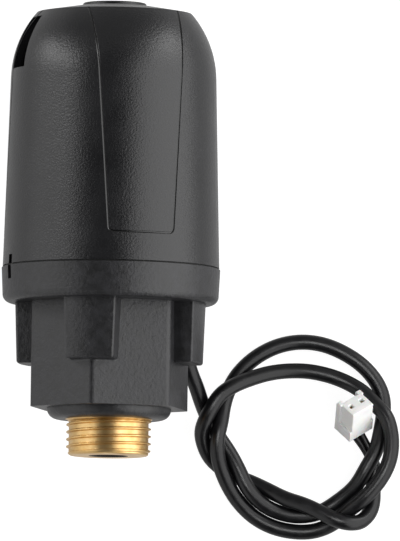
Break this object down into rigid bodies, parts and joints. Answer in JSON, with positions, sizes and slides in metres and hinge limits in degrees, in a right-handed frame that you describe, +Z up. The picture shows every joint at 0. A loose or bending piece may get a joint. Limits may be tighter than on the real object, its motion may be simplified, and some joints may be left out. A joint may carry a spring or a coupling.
{
  "type": "pump pressure switch",
  "caption": "Small water pump pressure switch: black moulded dome cap on a hexagonal base, brass male inlet thread, spring-set snap switch inside, short cord in a loose coil with a white plug.",
  "frame": {"origin": "bottom centre of the switch's bounding box, without the cord and plug: on the table under the middle of the level axis", "axes": "the switch lies on its side; +Y along its axis from the brass inlet to the crown, +Z up from the table, +X to the right as seen from above with the crown away"},
  "size_m": [0.0997, 0.1326, 0.054],
  "materials": {
    "black_moulding": "satin, fine grain",
    "grey_moulding": "matt",
    "red_moulding": "gloss",
    "white_nylon": "satin",
    "black_rubber": "matt",
    "cord_jacket": "satin",
    "brass": "turned",
    "zinc_steel": "zinc plated",
    "spring_steel": "drawn"
  },
  "bodies": {
    "base": {"base_housing": "black_moulding", "inlet_fitting": "brass", "diaphragm": "black_rubber", "clamp_plate": "grey_moulding", "clamp_screws": "zinc_steel", "range_spring": "spring_steel", "mechanism_frame": "zinc_steel", "microswitch_case": "black_moulding", "microswitch_cover": "black_moulding", "microswitch_terminals": "brass", "microswitch_screws": "zinc_steel", "lead_wires": "cord_jacket", "inner_cable": "cord_jacket", "cable_tie": "white_nylon", "cable_grommet": "black_rubber", "cap_gasket": "black_rubber", "cord_lead": "cord_jacket", "cord_coil": "cord_jacket", "plug_wires": "cord_jacket", "plug_housing": "white_nylon", "plug_terminals": "brass"},
    "cap": {"cap": "black_moulding"},
    "crown_plug": {"crown_plug": "black_moulding"},
    "piston": {"piston": "grey_moulding", "actuator_arm": "zinc_steel"},
    "switch_button": {"microswitch_button": "red_moulding"},
    "adjuster": {"adjusting_screw": "zinc_steel", "screw_clip": "spring_steel"},
    "spring_nut": {"spring_nut": "zinc_steel"}
  },
  "joints": [
    {"name": "cap_lift", "type": "slide", "parent": "base", "child": "cap", "axis": [0, 1, 0], "range_m": [0, 0.075]},
    {"name": "crown_plug_pull", "type": "slide", "parent": "cap", "child": "crown_plug", "axis": [0, 1, 0], "range_m": [0, 0.015]},
    {"name": "piston_stroke", "type": "slide", "parent": "base", "child": "piston", "axis": [0, 1, 0], "range_m": [0, 0.0012], "stiffness_N_per_m": 4400, "deforming": ["diaphragm", "range_spring"]},
    {"name": "button_travel", "type": "slide", "parent": "base", "child": "switch_button", "axis": [0, 1, 0], "range_m": [0, 0.0009]},
    {"name": "adjuster_turn", "type": "hinge", "parent": "base", "child": "adjuster", "pos_m": [0, 0, 0.027], "axis": [0, 1, 0], "range_deg": [-720, 720]},
    {"name": "nut_travel", "type": "slide", "parent": "base", "child": "spring_nut", "axis": [0, 1, 0], "range_m": [-0.0026, 0.0026], "deforming": ["range_spring"]}
  ],
  "couplings": [
    {"joint": "button_travel", "follows": "piston_stroke", "ratio": 0.7},
    {"joint": "nut_travel", "follows": "adjuster_turn", "m_per_rad": -0.00019894}
  ]
}
